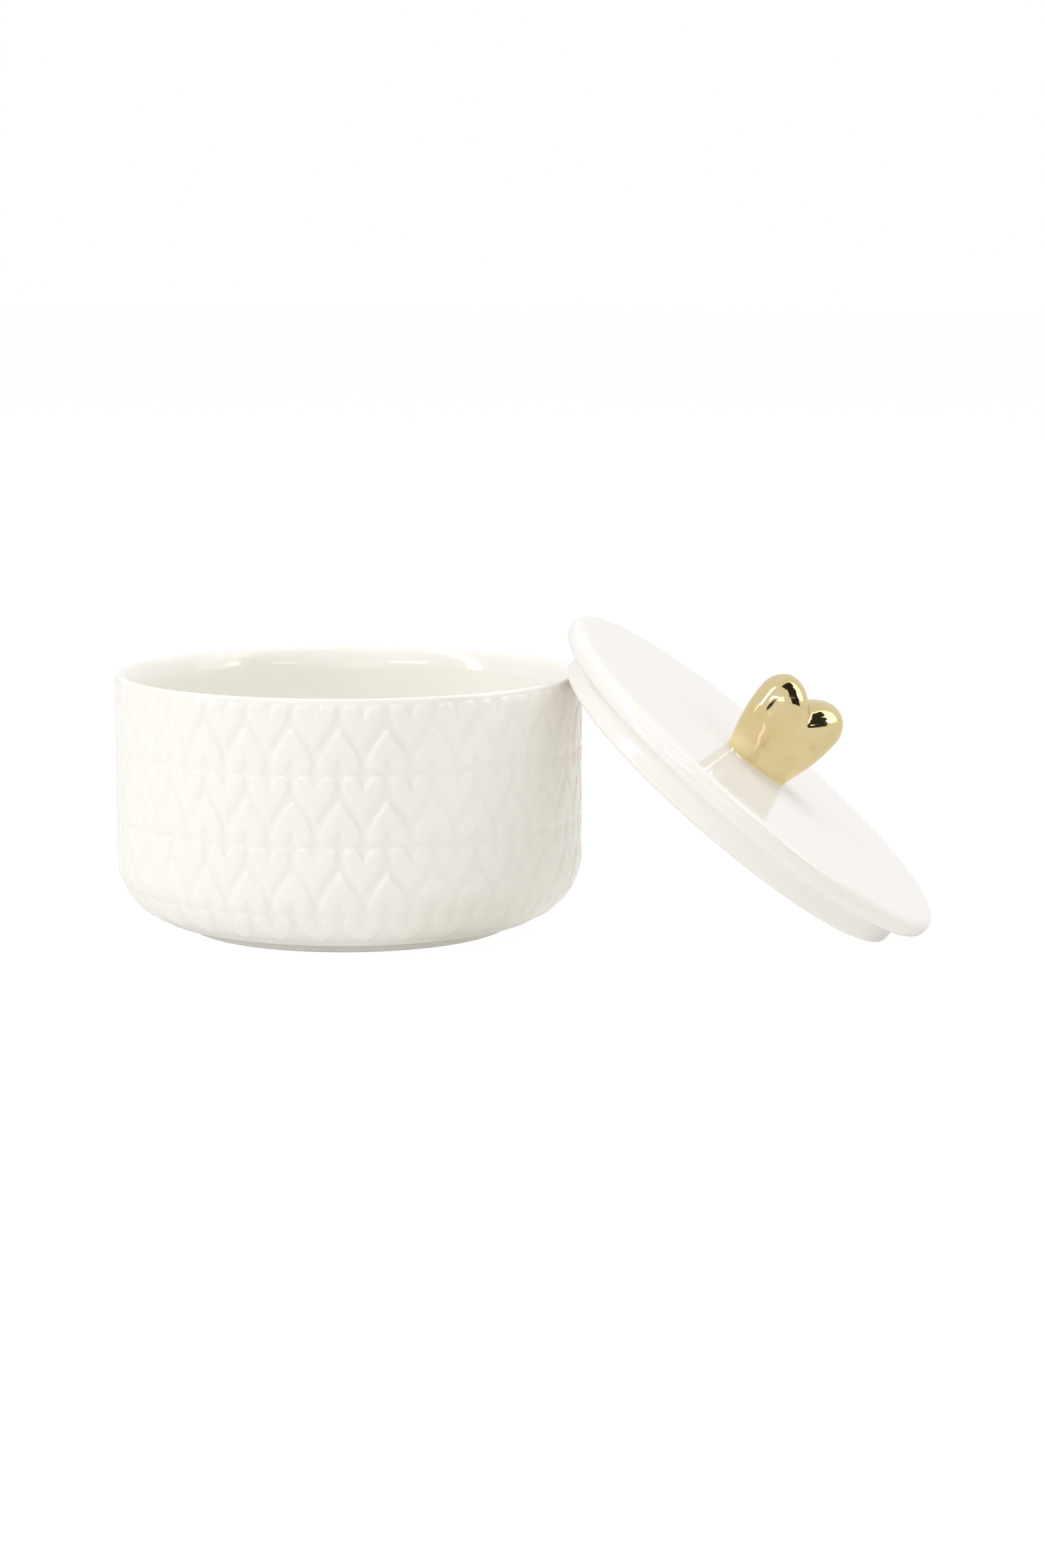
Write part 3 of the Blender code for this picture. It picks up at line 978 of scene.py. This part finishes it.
class TRINKET_OT_stage(bpy.types.Operator):
    """Lay the floor, hang the lamps and place the camera"""

    bl_idname = "trinket.stage"
    bl_label = "Stage"

    def execute(self, context):
        stage = context.scene.trinket_stage
        self.lay_floor(stage)
        self.light(context, stage)
        self.place_camera(context, stage)
        context.scene.view_settings.view_transform = "Standard"
        return {"FINISHED"}

    def lay_floor(self, stage):
        bpy.ops.object.select_all(action="DESELECT")
        bpy.ops.mesh.primitive_plane_add(size=stage.floor_size)
        floor = bpy.context.object
        floor.name = "studio_floor"
        floor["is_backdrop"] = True
        material, nodes, shader = new_material("pale_floor")
        nodes.set(shader, "Base Color", opaque(stage.floor))
        nodes.set(shader, "Roughness", FLOOR_ROUGHNESS)
        nodes.set(shader, "Specular IOR Level", 0.0)
        seen = nodes.add("ShaderNodeLightPath").outputs["Is Camera Ray"]
        place = nodes.add("ShaderNodeTexCoord").outputs["Object"]

        def near(x, y, low, high, least):
            apart = nodes.add("ShaderNodeVectorMath", {"operation": "DISTANCE"})
            nodes.set(apart, "0", place)
            nodes.set(apart, "1", (x, y, 0))
            return nodes.ramp(apart.outputs["Value"], low, high, least, 1.0)

        # Painted shadows: the glow is dimmed around the bowl, beside it and at the lid's ring end,
        # and tinted warm beside the bowl
        beside = near(*SIDE_SHADE)
        shaded = nodes.math("MULTIPLY", near(*BOWL_SHADE), near(*LID_SHADE))
        shaded = nodes.math("MULTIPLY", shaded, beside)
        given = nodes.math("MULTIPLY", shaded, stage.floor_glow)
        glow = nodes.ramp(seen, 0.0, 1.0, given, stage.seen_glow)
        warmth = nodes.mix(beside, opaque(stage.floor_shade_warmth), opaque(stage.floor_cream))
        cream = nodes.mix(seen, warmth, opaque(WHITE))
        white = nodes.add("ShaderNodeEmission", Color=cream, Strength=glow)
        mixed = nodes.add("ShaderNodeMixShader")
        nodes.set(mixed, "0", nodes.ramp(seen, 0.0, 1.0, stage.floor_share, stage.seen_share))
        nodes.set(mixed, "1", shader.outputs["BSDF"])
        nodes.set(mixed, "2", white.outputs["Emission"])
        out = material.node_tree.nodes["Material Output"]
        nodes.set(out, "Surface", mixed.outputs["Shader"])
        floor.data.materials.append(material)

    def light(self, context, stage):
        world = bpy.data.worlds.new("studio")
        context.scene.world = world
        world.use_nodes = True
        nodes = NodeTree(world.node_tree)
        even = world.node_tree.nodes["Background"]
        nodes.set(even, "Color", opaque(stage.sky_tint))
        nodes.set(even, "Strength", stage.sky)
        rays = nodes.add("ShaderNodeLightPath").outputs
        bright = nodes.ramp(rays["Is Camera Ray"], 0.0, 1.0, stage.mirrored_sky, 1.0)
        white = nodes.add("ShaderNodeBackground", Color=opaque(WHITE), Strength=bright)
        mirrored = nodes.math("MAXIMUM", rays["Is Glossy Ray"], rays["Is Transmission Ray"])
        mixed = nodes.add("ShaderNodeMixShader")
        nodes.set(mixed, "0", nodes.math("MAXIMUM", rays["Is Camera Ray"], mirrored))
        nodes.set(mixed, "1", even.outputs["Background"])
        nodes.set(mixed, "2", white.outputs["Background"])
        nodes.set(world.node_tree.nodes["World Output"], "Surface", mixed.outputs["Shader"])
        for lamp in LAMPS:
            softbox(*lamp)
        for face in CARDS:
            card(*face)

    def place_camera(self, context, stage):
        bpy.ops.object.camera_add()
        camera = bpy.context.object
        camera.name = "photo_camera"
        back = direction(math.degrees(stage.azimuth), math.degrees(stage.elevation))
        target = Vector((stage.target_x, 0, stage.target_height))
        camera.matrix_world = aim(target + back * stage.distance, target)
        camera.data.sensor_width = SENSOR
        camera.data.lens = stage.focal_pixels * SENSOR / IMAGE_LONG_SIDE
        camera.data.clip_start = CLIP_START
        camera.data.clip_end = CLIP_END
        context.scene.camera = camera


class TRINKET_PT_panel(bpy.types.Panel):
    """Sizes, finishes and making of the trinket box"""

    bl_idname = "TRINKET_PT_panel"
    bl_label = "Trinket Box"
    bl_space_type = "VIEW_3D"
    bl_region_type = "UI"
    bl_category = "Trinket Box"

    def draw(self, context):
        for kind, name, operator in MAKING:
            box = self.layout.box()
            settings = getattr(context.scene, name)
            for prop in kind.__annotations__:
                box.prop(settings, prop)
            if operator:
                box.operator(operator.bl_idname)


MAKING = (
    (FinishSettings, "trinket_finish", None),
    (BowlSettings, "trinket_bowl", TRINKET_OT_bowl),
    (LidSettings, "trinket_lid", TRINKET_OT_lid),
    (KnobSettings, "trinket_knob", TRINKET_OT_knob),
    (StageSettings, "trinket_stage", TRINKET_OT_stage),
)


def register():
    for kind, name, operator in MAKING:
        bpy.utils.register_class(kind)
        setattr(bpy.types.Scene, name, bpy.props.PointerProperty(type=kind))
        if operator:
            bpy.utils.register_class(operator)
    bpy.utils.register_class(TRINKET_PT_panel)


def unregister():
    bpy.utils.unregister_class(TRINKET_PT_panel)
    for kind, name, operator in reversed(MAKING):
        if operator:
            bpy.utils.unregister_class(operator)
        delattr(bpy.types.Scene, name)
        bpy.utils.unregister_class(kind)


def main():
    register()
    bpy.ops.trinket.bowl()
    bpy.ops.trinket.lid()
    bpy.ops.trinket.knob()
    bpy.ops.trinket.stage()
    boxes = {"cad": CAD_BOX, "visual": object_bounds()}
    {name: [list(corner) for corner in box] for name, box in boxes.items()}


if __name__ == "__main__":
    main()
